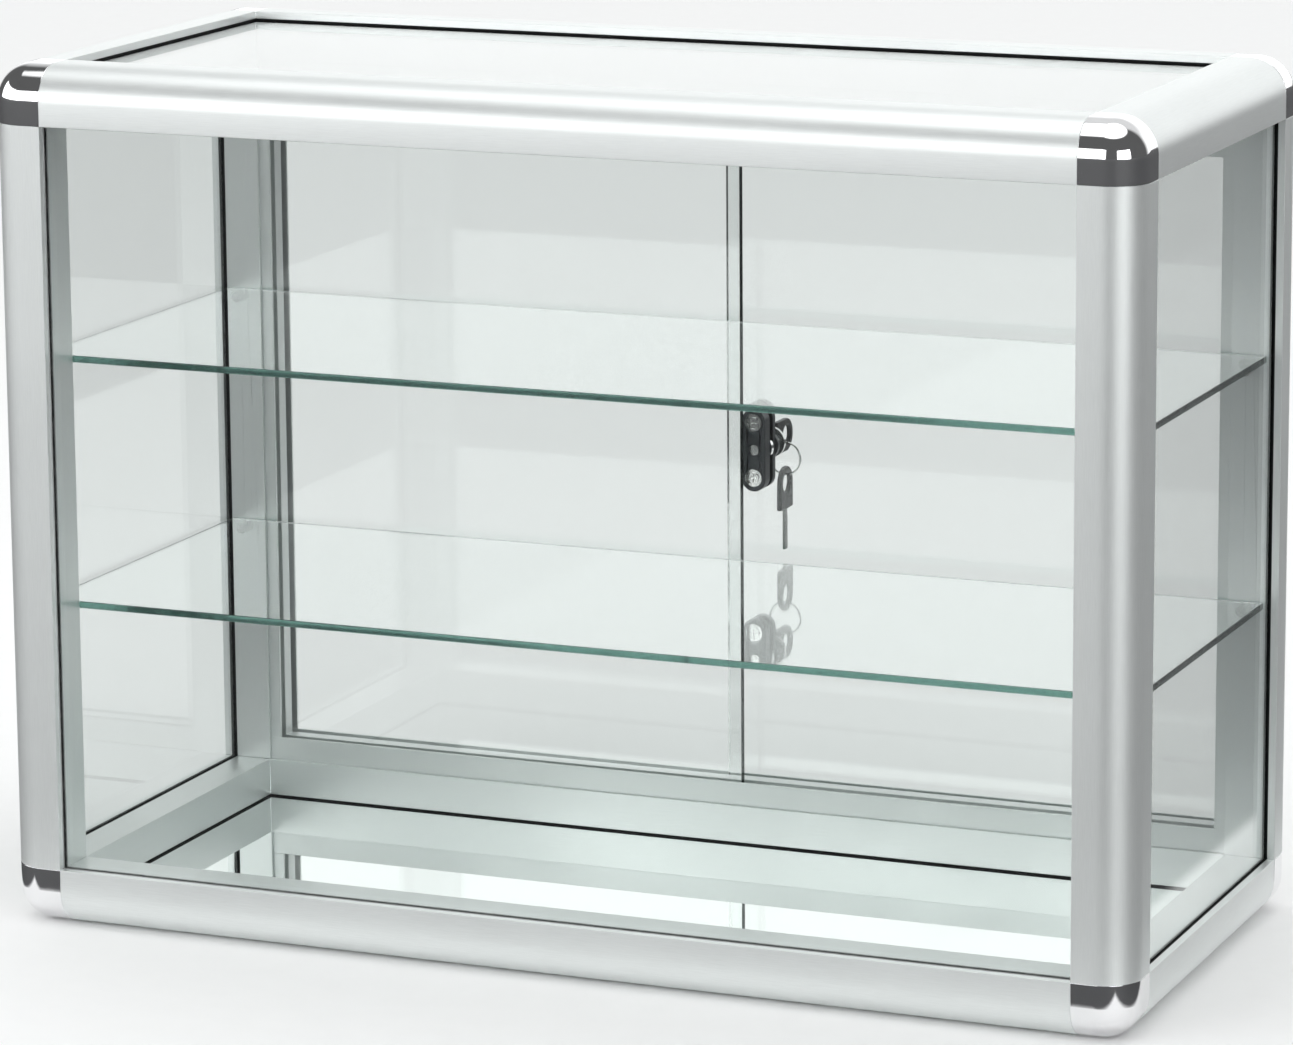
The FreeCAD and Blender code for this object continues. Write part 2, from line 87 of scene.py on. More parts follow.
class MetalSettings(bpy.types.PropertyGroup):
    """Colours and edges of the frame, the doors' tracks, the shelf pins, the lock and the keys"""

    rail_colour: colour_setting("Rail colour", "Satin anodised rails and posts", (0.80, 0.825, 0.82))
    rail_roughness: share_setting("Rail roughness", "How soft the rails' reflections are", 0.40)
    track_haze: share_setting("Track haze", "How much rougher the tracks and jambs are", 0.04)
    rail_metal: share_setting("Rail metal", "How metallic the rails look; the rest is pale anodising", 0.72)
    rail_edge: length_setting("Rail edge", "Rounding of the extrusions' edges", 0.0003)
    track_edge: length_setting("Track edge", "Rounding of the tracks' and jambs' edges", 0.0002)
    cap_colour: colour_setting("Cap colour", "Chrome of the corner caps", (0.90, 0.90, 0.91))
    cap_edge: length_setting("Cap edge", "Rounding of the caps' rims", 0.0004)
    insert_colour: colour_setting("Insert colour", "Nylon inserts in the corners", (0.03, 0.03, 0.03))
    insert_edge: length_setting("Insert edge", "Rounding of the inserts' edges", 0.0004)
    pin_colour: colour_setting("Pin colour", "Nickel plate of the shelf pins", (0.55, 0.55, 0.53))
    pin_edge: length_setting("Pin edge", "Rounding of the pins' ends", 0.0005)
    lock_colour: colour_setting("Lock colour", "Dark zinc of the plate and housing", (0.085, 0.09, 0.095))
    plate_edge: length_setting("Plate edge", "Rounding of the lock's plate and housing", 0.0005)
    steel_colour: colour_setting("Steel colour", "Plated screws, barrel and ring", (0.74, 0.74, 0.73))
    barrel_edge: length_setting("Barrel edge", "Rounding of the barrel, plug and screws", 0.0003)
    blade_colour: colour_setting("Blade colour", "Darkened steel of the key blades", (0.30, 0.30, 0.295))
    blade_edge: length_setting("Blade edge", "Rounding of the key blades", 0.0002)
    head_colour: colour_setting("Head colour", "Black plastic of the key heads", (0.014, 0.014, 0.015))
    head_edge: length_setting("Head edge", "Rounding of the key heads", 0.0011)


class GlassSettings(bpy.types.PropertyGroup):
    """Colours and edges of the glass, the mirror and what seals them"""

    face_tint: colour_setting("Face tint", "Light that goes straight through a pane", (0.895, 0.915, 0.908))
    edge_tint: colour_setting("Edge tint", "Green of a pane seen through its edge", (0.21, 0.44, 0.38))
    edge_round: length_setting("Edge rounding", "Arris ground on the glass edges", 0.0006)
    mirror_colour: colour_setting("Mirror colour", "Silvering of the deck", (0.92, 0.945, 0.935))
    backing_colour: colour_setting("Backing colour", "Paint on the deck's underside", (0.32, 0.33, 0.32))
    seal_colour: colour_setting("Seal colour", "Black glazing seals", (0.006, 0.0065, 0.0065))
    # The front seal is the black glazing rubber painted lighter, as painted light that lifts the shade in
    # its groove behind the front glass.
    front_seal_painted_light_colour: colour_setting("Front seal colour, painted lighter", "Seal round the front pane", (0.46, 0.47, 0.47))
    seal_edge: length_setting("Seal edge", "Rounding of the seals and the lock's pads", 0.0002)
    # The pile's darker tone is painted shade down between its fibres.
    pile_shade_colour: colour_setting("Pile shade colour", "Painted shade between the pile's fibres", (0.012, 0.012, 0.013))
    pile_tip_colour: colour_setting("Pile tip colour", "Tips of the jambs' pile", (0.05, 0.05, 0.05))
    pile_edge: length_setting("Pile edge", "Rounding of the pile strips", 0.0003)


class StageSettings(bpy.types.PropertyGroup):
    """Floor, light and camera"""

    floor_colour: colour_setting("Floor colour", "Plain pale floor", (0.90, 0.90, 0.90))
    floor_half: length_setting("Floor half width", "Half the side of the square floor", 30.0)
    floor_gap: length_setting("Floor gap", "Keeps the base and the floor out of one plane", 0.0004)
    table_front: length_setting("Table front", "Reach of the reflected table top ahead of the middle", 0.229)
    table_side: length_setting("Table side", "Reach of the reflected table top to each side", 0.395)
    table_rim: length_setting("Table rim", "Width over which the reflected table top ends", 0.012)
    beyond_colour: colour_setting("Beyond the table", "Dim room past the table top", (0.05, 0.05, 0.053))
    sky_colour: colour_setting("Sky colour", "Tint of the light from all round", (0.99, 1.0, 1.0))
    sky_strength: FloatProperty(name="Sky strength", description="Soft light from all round", default=1.0)
    lamp_power: FloatProperty(
        name="Lamp power", description="Power of the overhead lamp", unit="POWER", default=11.0
    )
    lens: FloatProperty(name="Lens", description="Focal length", unit="CAMERA", default=153.8)
    place: FloatVectorProperty(
        name="Camera place", description="Where the camera stands", subtype="TRANSLATION", unit="LENGTH",
        default=(1.198, -2.880, 0.907),
    )
    turn: FloatVectorProperty(
        name="Camera turn", description="Which way the camera faces", subtype="EULER", unit="ROTATION",
        default=(math.radians(78.74), math.radians(0.2), math.radians(21.67)),
    )
    shift: FloatVectorProperty(
        name="Camera shift", description="Framing offset of the lens", size=2, default=(-0.0773, -0.0773)
    )


# ------------------------------------------------------------------------------------ node helpers


def node(tree, kind, inputs=None, **settings):
    """Adds a shader node. An input is a value, or another node's output to be linked."""
    made = tree.nodes.new(kind)
    for key, value in settings.items():
        setattr(made, key, value)
    for key, value in (inputs or {}).items():
        if isinstance(value, bpy.types.NodeSocket):
            tree.links.new(value, made.inputs[key])
        else:
            made.inputs[key].default_value = value
    return made


def maths(tree, operation, first, second=0.0):
    return node(tree, "ShaderNodeMath", {0: first, 1: second}, operation=operation).outputs[0]


def spread(tree, value, low, high, start=0.0, end=1.0, smooth=False):
    """Spreads a value from start..end to low..high."""
    kind = "SMOOTHSTEP" if smooth else "LINEAR"
    ends = {"Value": value, "From Min": start, "From Max": end, "To Min": low, "To Max": high}
    return node(tree, "ShaderNodeMapRange", ends, interpolation_type=kind).outputs["Result"]


def blend_colours(tree, factor, first, second):
    mixed = node(tree, "ShaderNodeMix", data_type="RGBA")
    for key, value in ((0, factor), (6, first), (7, second)):
        if isinstance(value, bpy.types.NodeSocket):
            tree.links.new(value, mixed.inputs[key])
        else:
            mixed.inputs[key].default_value = value
    return mixed.outputs[2]


def opaque(colour, times=1.0):
    return (*(min(channel * times, 1.0) for channel in colour), 1.0)


def new_group(name, inputs, outputs):
    """An empty shader node group with named sockets, and its input and output nodes."""
    tree = bpy.data.node_groups.new(name, "ShaderNodeTree")
    for label, kind, default in inputs:
        socket = tree.interface.new_socket(name=label, in_out="INPUT", socket_type=kind)
        socket.default_value = default
    for label in outputs:
        tree.interface.new_socket(name=label, in_out="OUTPUT", socket_type="NodeSocketFloat")
    return tree, tree.nodes.new("NodeGroupInput"), tree.nodes.new("NodeGroupOutput")


def drawn_grain():
    """Fine lines along the way that a bar was drawn or brushed."""
    inputs = [("Stretch", "NodeSocketVector", (1, 1, 1)), ("Density", "NodeSocketFloat", 900.0)]
    tree, given, out = new_group("drawn grain", inputs, ["Grain"])
    place = node(tree, "ShaderNodeTexCoord").outputs["Object"]
    pulled = {0: place, 1: given.outputs["Stretch"]}
    stretched = node(tree, "ShaderNodeVectorMath", pulled, operation="MULTIPLY").outputs[0]
    lines = {"Vector": stretched, "Scale": given.outputs["Density"], "Detail": 3.0, "Roughness": 0.62}
    noise = node(tree, "ShaderNodeTexNoise", lines).outputs["Fac"]
    tree.links.new(spread(tree, noise, 0.0, 1.0, start=0.3, end=0.7), out.inputs["Grain"])
    return tree


def handling_marks():
    """Broad faint patches where a surface has been touched and wiped."""
    inputs = [("Scale", "NodeSocketFloat", 9.0), ("Cover", "NodeSocketFloat", 0.5)]
    tree, given, out = new_group("handling marks", inputs, ["Marks"])
    place = node(tree, "ShaderNodeTexCoord").outputs["Object"]
    patches = {"Vector": place, "Detail": 4.0, "Roughness": 0.55, "Distortion": 0.6}
    broad = node(tree, "ShaderNodeTexNoise", {**patches, "Scale": given.outputs["Scale"]}).outputs["Fac"]
    edge = maths(tree, "SUBTRACT", 1.0, given.outputs["Cover"])
    lifted = maths(tree, "SUBTRACT", broad, edge)
    soft = spread(tree, lifted, 0.0, 1.0, start=-0.12, end=0.22, smooth=True)
    tree.links.new(soft, out.inputs["Marks"])
    return tree


def fleck():
    """Small pits and grains, as on moulded plastic, rubber and cast metal."""
    inputs = [("Size", "NodeSocketFloat", 0.0008), ("Sharpness", "NodeSocketFloat", 0.5)]
    tree, given, out = new_group("fleck", inputs, ["Height", "Tone"])
    place = node(tree, "ShaderNodeTexCoord").outputs["Object"]
    density = maths(tree, "DIVIDE", 1.0, given.outputs["Size"])
    cells = node(tree, "ShaderNodeTexVoronoi", {"Vector": place, "Scale": density, "Randomness": 1.0})
    speckle = {"Vector": place, "Scale": density, "Detail": 2.0}
    noise = node(tree, "ShaderNodeTexNoise", speckle).outputs["Fac"]
    pits = maths(tree, "MULTIPLY", cells.outputs["Distance"], given.outputs["Sharpness"])
    tree.links.new(maths(tree, "ADD", pits, noise), out.inputs["Height"])
    tree.links.new(noise, out.inputs["Tone"])
    return tree


def facing():
    """1 on faces square to a direction, on either side of the piece, and 0 on its edges.

    Signed is 1 on the side that the direction points to and -1 on the far side.
    """
    inputs = [("Direction", "NodeSocketVector", (0, 0, 1))]
    tree, given, out = new_group("facing", inputs, ["Facing", "Signed"])
    normal = node(tree, "ShaderNodeTexCoord").outputs["Normal"]
    both = {0: normal, 1: given.outputs["Direction"]}
    along = node(tree, "ShaderNodeVectorMath", both, operation="DOT_PRODUCT").outputs["Value"]
    size = maths(tree, "ABSOLUTE", along)
    tree.links.new(spread(tree, size, 0.0, 1.0, start=0.75, end=0.95), out.inputs["Facing"])
    tree.links.new(along, out.inputs["Signed"])
    return tree


GROUP_MAKERS = {
    "drawn grain": drawn_grain,
    "handling marks": handling_marks,
    "fleck": fleck,
    "facing": facing,
}


def use_group(tree, name, inputs):
    """Places one of the shared groups, building it the first time, and returns its outputs."""
    placed = tree.nodes.new("ShaderNodeGroup")
    placed.node_tree = bpy.data.node_groups.get(name) or GROUP_MAKERS[name]()
    for key, value in inputs.items():
        placed.inputs[key].default_value = value
    return placed.outputs


def new_finish(name, roughness, metallic=0.0, specular=0.5):
    """A material with a Principled shader, and its tree and shader."""
    material = bpy.data.materials.new(name)
    material.use_nodes = True
    tree = material.node_tree
    shader = tree.nodes["Principled BSDF"]
    shader.inputs["Roughness"].default_value = roughness
    shader.inputs["Metallic"].default_value = metallic
    shader.inputs["IOR"].default_value = REFRACTION
    shader.inputs["Specular IOR Level"].default_value = specular
    return material, tree, shader


def feed(tree, shader, **sockets):
    """Links values into the shader: colour, roughness, metallic or normal."""
    names = {"colour": "Base Color", "roughness": "Roughness", "metallic": "Metallic", "normal": "Normal"}
    for key, value in sockets.items():
        tree.links.new(value, shader.inputs[names[key]])


def bump(tree, height, depth, strength=1.0):
    inputs = {"Height": height, "Distance": depth, "Strength": strength}
    return node(tree, "ShaderNodeBump", inputs).outputs["Normal"]


# --------------------------------------------------------------------------------------- finishes


def satin_metal(name, colour, roughness, along, metallic=1.0, density=2400.0):
    """Metal with a fine drawn grain along one axis of the piece."""
    drawn_out, grain_depth, grain_shine = 0.03, 0.00002, 0.02
    mark_fade, mark_haze = 0.25, 0.04
    material, tree, shader = new_finish(name, roughness, metallic)
    stretch = [1.0, 1.0, 1.0]
    stretch[AXES[along]] = drawn_out
    grain = use_group(tree, "drawn grain", {"Stretch": stretch, "Density": density})["Grain"]
    marks = use_group(tree, "handling marks", {"Scale": 7.0, "Cover": 0.5})["Marks"]
    tone = maths(tree, "SUBTRACT", 1.0, maths(tree, "MULTIPLY", marks, mark_fade))
    shade = maths(tree, "MULTIPLY", grain, tone)
    base = blend_colours(tree, shade, opaque(colour, times=0.96), opaque(colour, times=1.03))
    grain_rough = spread(tree, grain, roughness - grain_shine, roughness + grain_shine)
    rough = maths(tree, "ADD", grain_rough, maths(tree, "MULTIPLY", marks, mark_haze))
    feed(tree, shader, colour=base, roughness=rough, normal=bump(tree, grain, grain_depth, strength=0.3))
    return material


def bright_metal(name, colour, roughness):
    """Polished plating with a faint orange peel and wiped patches."""
    peel_depth, mark_haze = 0.00002, 0.06
    material, tree, shader = new_finish(name, roughness, metallic=1.0)
    marks = use_group(tree, "handling marks", {"Scale": 60.0, "Cover": 0.45})["Marks"]
    peel = use_group(tree, "fleck", {"Size": 0.006, "Sharpness": 0.0})
    base = blend_colours(tree, marks, opaque(colour), opaque(colour, times=0.93))
    rough = spread(tree, marks, roughness, roughness + mark_haze)
    relief = bump(tree, peel["Tone"], peel_depth, strength=0.5)
    feed(tree, shader, colour=base, roughness=rough, normal=relief)
    return material


def grained_solid(name, colour, *, roughness, grain_size, depth, metallic=0.0, tones=0.35, specular=0.5):
    """Moulded, cast or rubbed surface: small pits and a mottled tone."""
    grain_share, mark_share, mottled_haze = 0.6, 0.4, 0.08
    material, tree, shader = new_finish(name, roughness, metallic, specular)
    grain = use_group(tree, "fleck", {"Size": grain_size, "Sharpness": 0.6})
    marks = use_group(tree, "handling marks", {"Scale": 120.0, "Cover": 0.5})["Marks"]
    grain_tone = maths(tree, "MULTIPLY", grain["Tone"], grain_share)
    mottled = maths(tree, "ADD", grain_tone, maths(tree, "MULTIPLY", marks, mark_share))
    base = blend_colours(tree, mottled, opaque(colour, 1 - tones), opaque(colour, 1 + tones))
    rough = spread(tree, mottled, roughness - mottled_haze, roughness + mottled_haze)
    feed(tree, shader, colour=base, roughness=rough, normal=bump(tree, grain["Height"], depth))
    return material


def clear_glass(name, glass, across, edge_times=1.0):
    """Float glass that lamps shine through: clear across its faces, green at its edges."""
    edge_haze, mark_haze = 0.12, 0.004
    material, tree, shader = new_finish(name, roughness=0.0)
    shader.inputs["Transmission Weight"].default_value = 1.0
    direction = [0.0, 0.0, 0.0]
    direction[AXES[across]] = 1.0
    flat = use_group(tree, "facing", {"Direction": direction})["Facing"]
    marks = use_group(tree, "handling marks", {"Scale": 11.0, "Cover": 0.35})["Marks"]
    wiped = blend_colours(tree, marks, opaque(glass.face_tint), opaque(glass.face_tint, times=0.985))
    base = blend_colours(tree, flat, opaque(glass.edge_tint, edge_times), wiped)
    rough_edge = spread(tree, flat, edge_haze, 0.0)
    rough = maths(tree, "ADD", rough_edge, maths(tree, "MULTIPLY", marks, mark_haze))
    feed(tree, shader, colour=base, roughness=rough)
    through = node(tree, "ShaderNodeBsdfTransparent", {"Color": opaque(glass.face_tint, times=0.96)})
    lamp = node(tree, "ShaderNodeLightPath").outputs["Is Shadow Ray"]
    both = node(tree, "ShaderNodeMixShader", {0: lamp, 1: shader.outputs[0], 2: through.outputs[0]})
    tree.links.new(both.outputs[0], tree.nodes["Material Output"].inputs["Surface"])
    return material


def silvered_glass(glass):
    """The deck: mirror above, backing paint below, green at the cut edges."""
    mirror_haze, paint_haze, mark_haze, paint_relief = 0.015, 0.6, 0.02, 0.00004
    material, tree, shader = new_finish("silvered deck", roughness=0.03, metallic=1.0)
    sides = use_group(tree, "facing", {"Direction": (0, 0, 1)})
    marks = use_group(tree, "handling marks", {"Scale": 8.0, "Cover": 0.4})["Marks"]
    paint = use_group(tree, "fleck", {"Size": 0.0015, "Sharpness": 0.5})
    above = maths(tree, "GREATER_THAN", sides["Signed"], 0.5)
    wiped, worn, thick = (
        opaque(glass.mirror_colour, times=0.97), opaque(glass.backing_colour, times=0.85),
        opaque(glass.backing_colour, times=1.1),
    )
    silver = blend_colours(tree, marks, opaque(glass.mirror_colour), wiped)
    backing = blend_colours(tree, paint["Tone"], worn, thick)
    edge = blend_colours(tree, sides["Facing"], opaque(glass.edge_tint), backing)
    base = blend_colours(tree, above, edge, silver)
    haze = spread(tree, above, paint_haze, mirror_haze)
    rough = maths(tree, "ADD", haze, maths(tree, "MULTIPLY", marks, mark_haze))
    hidden = maths(tree, "SUBTRACT", 1.0, above)
    relief = maths(tree, "MULTIPLY", paint["Height"], hidden)
    feed(tree, shader, colour=base, roughness=rough, metallic=above, normal=bump(tree, relief, paint_relief))
    return material


def pile_finish(glass):
    """Short woven pile: upright fibres in rows, with painted shade between them."""
    fibre_depth = 0.0003
    material, tree, shader = new_finish("black pile", roughness=0.95)
    fibres = use_group(tree, "drawn grain", {"Stretch": (1.0, 0.15, 1.0), "Density": 2600.0})["Grain"]
    # Streaks of painted shade between the fibres, with the tips in the pile's own black.
    base = blend_colours(tree, fibres, opaque(glass.pile_shade_colour), opaque(glass.pile_tip_colour))
    rough = spread(tree, fibres, 0.85, 1.0)
    feed(tree, shader, colour=base, roughness=rough, normal=bump(tree, fibres, fibre_depth))
    return material


# ----------------------------------------------------------------------------------------- pieces


def pieces_starting(*starts):
    return [piece for name, piece in sorted(NODES.items()) if name.startswith(starts)]


def dress(pieces, material, edge=0.0, segments=2):
    """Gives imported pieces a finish, and rounds their sharp edges without changing their own meshes."""
    for piece in pieces:
        mesh = piece.data
        if not mesh.materials:
            mesh.materials.append(material)
        for slot in piece.material_slots:
            slot.material = material
        if edge <= 0:
            continue
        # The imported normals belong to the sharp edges, so the rounding makes its own.
        if "custom_normal" in mesh.attributes:
            mesh.attributes.remove(mesh.attributes["custom_normal"])
        mesh.polygons.foreach_set("use_smooth", [True] * len(mesh.polygons))
        weld = piece.modifiers.new("joined faces", "WELD")
        weld.merge_threshold = WELD_REACH
        rounding = piece.modifiers.new("rounded edges", "BEVEL")
        rounding.width = edge
        rounding.segments = segments
        rounding.limit_method = "ANGLE"
        rounding.angle_limit = SHARP_EDGE
        rounding.harden_normals = True
        rounding.use_clamp_overlap = True


def settings(context):
    return context.scene.showcase_metal, context.scene.showcase_glass


class SHOWCASE_OT_rails(bpy.types.Operator):
    """Finish the eight rails and four posts in satin aluminium, with the grain along each"""

    bl_idname = "showcase.rails"
    bl_label = "Rails and posts"

    def execute(self, context):
        metal, _ = settings(context)
        deep = pieces_starting("rail_bottom_left", "rail_bottom_right", "rail_top_left", "rail_top_right")
        wide = [rail for rail in pieces_starting("rail_") if rail not in deep]
        for along, pieces in (("x", wide), ("y", deep), ("z", pieces_starting("post_"))):
            name = f"satin aluminium along {along}"
            finish = satin_metal(name, metal.rail_colour, metal.rail_roughness, along, metal.rail_metal)
            dress(pieces, finish, metal.rail_edge)
        return {"FINISHED"}


class SHOWCASE_OT_corners(bpy.types.Operator):
    """Finish the chromed corner caps and the inserts inside them"""

    bl_idname = "showcase.corners"
    bl_label = "Corner caps"

    def execute(self, context):
        metal, _ = settings(context)
        inserts = pieces_starting("corner_inserts")
        caps = [piece for piece in pieces_starting("corner_") if piece not in inserts]
        dress(caps, bright_metal("polished chrome", metal.cap_colour, roughness=0.045), metal.cap_edge)
        nylon = grained_solid(
            "black nylon", metal.insert_colour, roughness=0.55, grain_size=0.0009, depth=0.00005
        )
        dress(inserts, nylon, metal.insert_edge)
        return {"FINISHED"}


class SHOWCASE_OT_panes(bpy.types.Operator):
    """Finish the fixed panes and shelves as clear float glass"""

    bl_idname = "showcase.panes"
    bl_label = "Panes and shelves"

    def execute(self, context):
        _, glass = settings(context)
        for side, across in (("front", "y"), ("left", "x"), ("right", "x"), ("top", "z")):
            pane = clear_glass(f"float glass across {side}", glass, across)
            dress([NODES[f"glass_{side}"]], pane, glass.edge_round)
        shelf = clear_glass("shelf glass", glass, "z", edge_times=0.8)
        dress([NODES["shelf_upper"], NODES["shelf_lower"]], shelf, glass.edge_round)
        return {"FINISHED"}


class SHOWCASE_OT_deck(bpy.types.Operator):
    """Finish the mirrored deck"""

    bl_idname = "showcase.deck"
    bl_label = "Mirror deck"

    def execute(self, context):
        _, glass = settings(context)
        dress([NODES["mirror_deck"]], silvered_glass(glass), glass.edge_round)
        return {"FINISHED"}


class SHOWCASE_OT_seals(bpy.types.Operator):
    """Finish the glazing seals, black, with the front one painted lighter against the shade in its groove,
    the lock's pads and the jambs' pile
    """

    bl_idname = "showcase.seals"
    bl_label = "Seals"

    def execute(self, context):
        _, glass = settings(context)
        moulded = {"grain_size": 0.0012, "depth": 0.00005}
        rubber = grained_solid(
            "black glazing rubber", glass.seal_colour, roughness=0.72, specular=0.2, **moulded
        )
        # The front seal's copy of the rubber is painted lighter, as painted light against the shade in its
        # groove.
        lightened = grained_solid(
            "grey glazing rubber", glass.front_seal_painted_light_colour, roughness=0.6, specular=0.3, **moulded
        )
        black = pieces_starting("seal_left", "seal_right", "seal_top", "seal_deck", "lock_pads")
        dress(black, rubber, glass.seal_edge)
        dress([NODES["seal_front"]], lightened, glass.seal_edge)
        dress([NODES["door_seals"]], pile_finish(glass), glass.pile_edge)
        return {"FINISHED"}


class SHOWCASE_OT_shelf_pins(bpy.types.Operator):
    """Finish the nickel-plated shelf pins"""

    bl_idname = "showcase.shelf_pins"
    bl_label = "Shelf pins"

    def execute(self, context):
        metal, _ = settings(context)
        pins = [NODES["shelf_upper_pins"], NODES["shelf_lower_pins"]]
        nickel = satin_metal("turned nickel", metal.pin_colour, 0.24, "z", density=2600.0)
        dress(pins, nickel, metal.pin_edge, segments=3)
        return {"FINISHED"}


class SHOWCASE_OT_tracks(bpy.types.Operator):
    """Finish the sliding doors' tracks and jambs"""

    bl_idname = "showcase.tracks"
    bl_label = "Tracks and jambs"

    def execute(self, context):
        metal, _ = settings(context)
        for along, pieces in (("x", pieces_starting("track_")), ("z", pieces_starting("jamb_"))):
            name, roughness = f"track aluminium along {along}", metal.rail_roughness + metal.track_haze
            finish = satin_metal(name, metal.rail_colour, roughness, along, metal.rail_metal)
            dress(pieces, finish, metal.track_edge)
        return {"FINISHED"}


class SHOWCASE_OT_doors(bpy.types.Operator):
    """Finish the two frameless sliding doors"""

    bl_idname = "showcase.doors"
    bl_label = "Doors"

    def execute(self, context):
        _, glass = settings(context)
        doors = [NODES["door_left_glass"], NODES["door_right_glass"]]
        dress(doors, clear_glass("door glass", glass, "y", edge_times=1.2))
        return {"FINISHED"}


class SHOWCASE_OT_lock(bpy.types.Operator):
    """Finish the push lock: dark plate and housing, bright screws, barrel and plug"""

    bl_idname = "showcase.lock"
    bl_label = "Lock"

    def execute(self, context):
        metal, _ = settings(context)
        zinc = grained_solid(
            "dark plated zinc", metal.lock_colour, roughness=0.38, grain_size=0.0007, depth=0.00003,
            metallic=0.85, tones=0.25,
        )
        dress([NODES["lock_plate"], NODES["lock_housing"]], zinc, metal.plate_edge, segments=3)
        bright = bright_metal("lock plating", metal.steel_colour, roughness=0.16)
        dress([NODES["lock_screws"], NODES["lock_barrel"], NODES["lock_plug"]], bright, metal.barrel_edge)
        return {"FINISHED"}


class SHOWCASE_OT_keys(bpy.types.Operator):
    """Finish the keys and the ring that they hang on"""

    bl_idname = "showcase.keys"
    bl_label = "Keys and ring"

    def execute(self, context):
        metal, _ = settings(context)
        heads = [NODES["key_head"], NODES["spare_key_head"]]
        plastic = grained_solid(
            "black key plastic", metal.head_colour, roughness=0.36, grain_size=0.0006, depth=0.00003
        )
        dress(heads, plastic, metal.head_edge, segments=4)
        blades = satin_metal("milled key steel", metal.blade_colour, 0.28, "z", density=4200.0)
        dress([NODES["key_blade"], NODES["spare_key_blade"]], blades, metal.blade_edge)
        dress([NODES["key_ring"]], bright_metal("ring wire", metal.steel_colour, roughness=0.14))
        return {"FINISHED"}


# ------------------------------------------------------------------------------------------ stage


def seen_in_shine(tree):
    """1 for what a shiny piece reflects, through glass or not; 0 for what is seen or lit directly."""
    return maths(tree, "MINIMUM", node(tree, "ShaderNodeLightPath").outputs["Glossy Depth"], 1.0)


def split_place(tree, kind):
    """The X, Y and Z of a kind of texture coordinate."""
    place = node(tree, "ShaderNodeTexCoord").outputs[kind]
    return node(tree, "ShaderNodeSeparateXYZ", {0: place}).outputs


def pale_floor(stage):
    """Plain floor, darker only in reflections once past the table top that the showcase would stand on."""
    material, tree, shader = new_finish("pale floor", roughness=0.9)
    mottle = use_group(tree, "fleck", {"Size": 0.02, "Sharpness": 0.2})["Tone"]
    darker, paler = opaque(stage.floor_colour, times=0.985), opaque(stage.floor_colour, times=1.01)
    pale = blend_colours(tree, mottle, darker, paler)
    place = split_place(tree, "Object")
    before = maths(tree, "SUBTRACT", maths(tree, "MULTIPLY", place["Y"], -1.0), stage.table_front)
    beside = maths(tree, "SUBTRACT", maths(tree, "ABSOLUTE", place["X"]), stage.table_side)
    past = maths(tree, "MAXIMUM", before, beside)
    beyond = spread(tree, past, 0.0, 1.0, end=stage.table_rim, smooth=True)
    dim = maths(tree, "MULTIPLY", beyond, seen_in_shine(tree))
    feed(tree, shader, colour=blend_colours(tree, dim, pale, opaque(stage.beyond_colour)))
    return material


def add_floor(stage):
    mesh = bpy.data.meshes.new("floor")
    shape = bmesh.new()
    bmesh.ops.create_grid(shape, x_segments=8, y_segments=8, size=stage.floor_half)
    shape.to_mesh(mesh)
    shape.free()
    floor = bpy.data.objects.new("floor", mesh)
    floor.location.z = -stage.floor_gap
    mesh.materials.append(pale_floor(stage))
    bpy.context.scene.collection.objects.link(floor)


def band(tree, value, low, high, soft):
    """1 between low and high, 0 outside, with soft edges."""
    rise = spread(tree, value, 0.0, 1.0, low, low + soft, smooth=True)
    fall = spread(tree, value, 1.0, 0.0, high - soft, high, smooth=True)
    return maths(tree, "MULTIPLY", rise, fall)


def window_light(tree, bearing, height, window):
    across = band(tree, bearing, *window["bearing"])
    return maths(tree, "MULTIPLY", across, band(tree, height, *window["height"]))


def studio_seen_in_shine(tree):
    """The room that shiny pieces reflect: bright windows, pale ceiling and back wall, the rest dim."""
    way = split_place(tree, "Generated")
    bearing = maths(tree, "ARCTAN2", way["X"], maths(tree, "MULTIPLY", way["Y"], -1.0))
    height = way["Z"]
    ceiling = spread(tree, height, 0.0, 1.0, *CEILING["height"], smooth=True)
    turned = maths(tree, "ABSOLUTE", bearing)
    back = spread(tree, turned, 0.0, 1.0, *BACK_WALL["bearing"], smooth=True)
    faded = spread(tree, height, 1.0, BACK_WALL["upper_share"], *BACK_WALL["fade"], smooth=True)
    places = (
        (window_light(tree, bearing, height, LEFT_WINDOW), LEFT_WINDOW["power"]),
        (window_light(tree, bearing, height, RIGHT_WINDOW), RIGHT_WINDOW["power"]),
        (ceiling, CEILING["power"]),
        (maths(tree, "MULTIPLY", back, faded), BACK_WALL["power"]),
    )
    light = DIM_WALL_POWER
    for place, power in places:
        light = maths(tree, "MAXIMUM", light, maths(tree, "MULTIPLY", place, power))
    return light


def light_sky(stage):
    """Even light all round; only what the shiny pieces reflect has windows and darker walls."""
    world = bpy.data.worlds.new("soft studio")
    bpy.context.scene.world = world
    world.use_nodes = True
    tree = world.node_tree
    background = tree.nodes["Background"]
    light = spread(tree, seen_in_shine(tree), 1.0, studio_seen_in_shine(tree))
    background.inputs["Color"].default_value = opaque(stage.sky_colour)
    tree.links.new(maths(tree, "MULTIPLY", light, stage.sky_strength), background.inputs["Strength"])


def add_lamp(name, place, aim, size, power):
    """A soft rectangular lamp at a place, turned to face a point."""
    data = bpy.data.lights.new(name, "AREA")
    data.shape = "RECTANGLE"
    data.size, data.size_y = size
    data.energy = power
    lamp = bpy.data.objects.new(name, data)
    lamp.location = place
    lamp.rotation_euler = (Vector(aim) - Vector(place)).to_track_quat("-Z", "Y").to_euler()
    lamp.visible_glossy = False
    bpy.context.scene.collection.objects.link(lamp)


